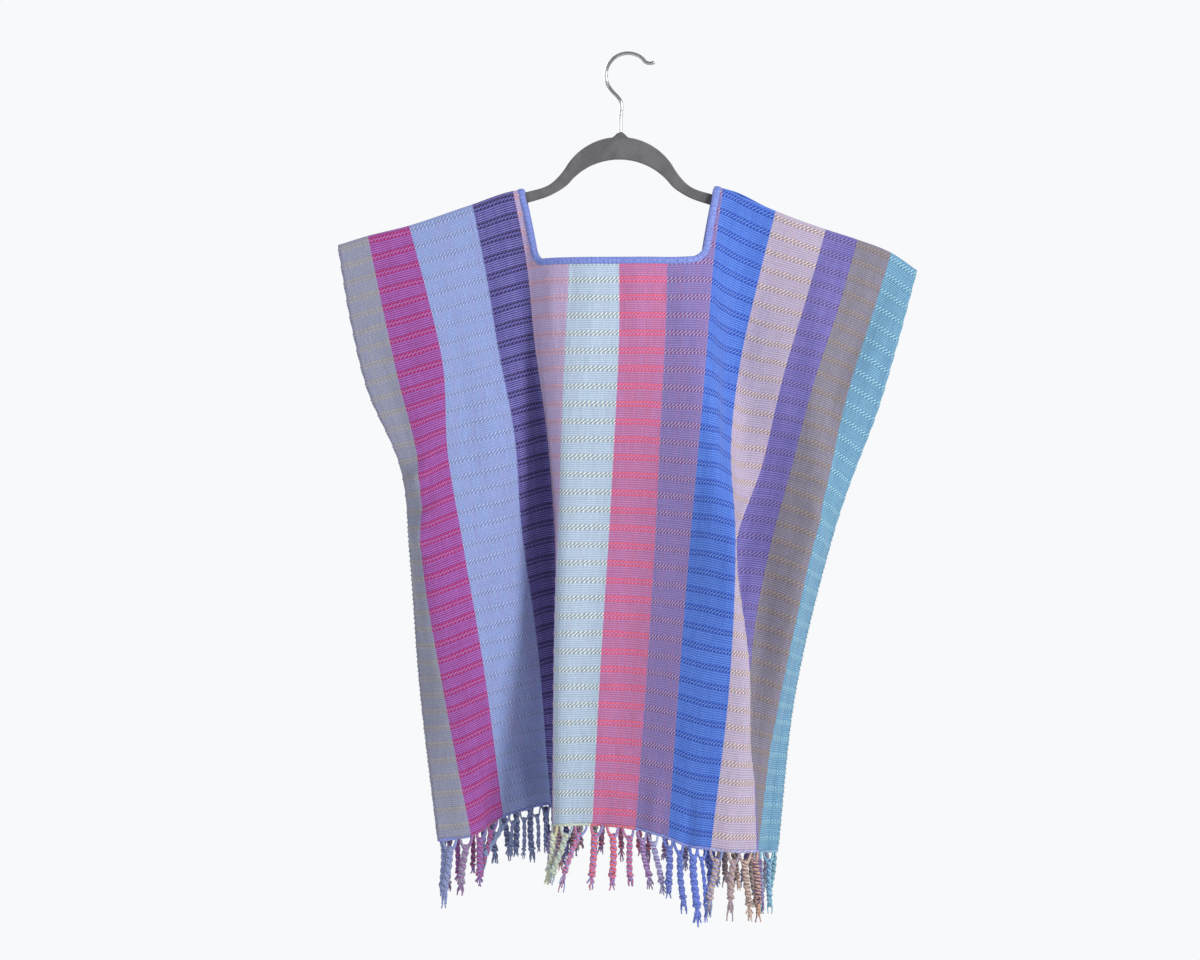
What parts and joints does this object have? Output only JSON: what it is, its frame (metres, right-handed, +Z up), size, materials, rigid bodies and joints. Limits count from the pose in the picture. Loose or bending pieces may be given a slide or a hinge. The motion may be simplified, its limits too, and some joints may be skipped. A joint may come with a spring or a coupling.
{
  "type": "huipil blouse on hanger",
  "caption": "Square-necked handwoven blouse of striped cloth, sewn up the sides below open armholes, with knotted fringe hems, hung on a slim flocked hanger by its wire hook.",
  "frame": {"origin": "inside top of the hanger's hook, where it rests on a rail", "axes": "+Z up, -Y towards the front of the blouse, +X to the right of someone looking at the front"},
  "size_m": [0.5799, 0.1986, 0.8773],
  "materials": {
    "striped_cloth": "matte handwoven cotton in warp stripes",
    "periwinkle_binding": "soft satin ribbon binding",
    "warp_fringe": "matte twisted cotton yarn",
    "grey_flock": "dark grey flocked, velvety",
    "chrome": "polished wire"
  },
  "bodies": {
    "root": {"front_outer_left": "striped_cloth", "front_left": "striped_cloth", "front_middle": "striped_cloth", "front_right": "striped_cloth", "back_outer_left": "striped_cloth", "back_left": "striped_cloth", "back_middle": "striped_cloth", "back_right": "striped_cloth", "neck_binding": "periwinkle_binding", "front_fringe": "warp_fringe", "back_fringe": "warp_fringe", "hanger": "grey_flock", "hook": "chrome"}
  },
  "joints": []
}
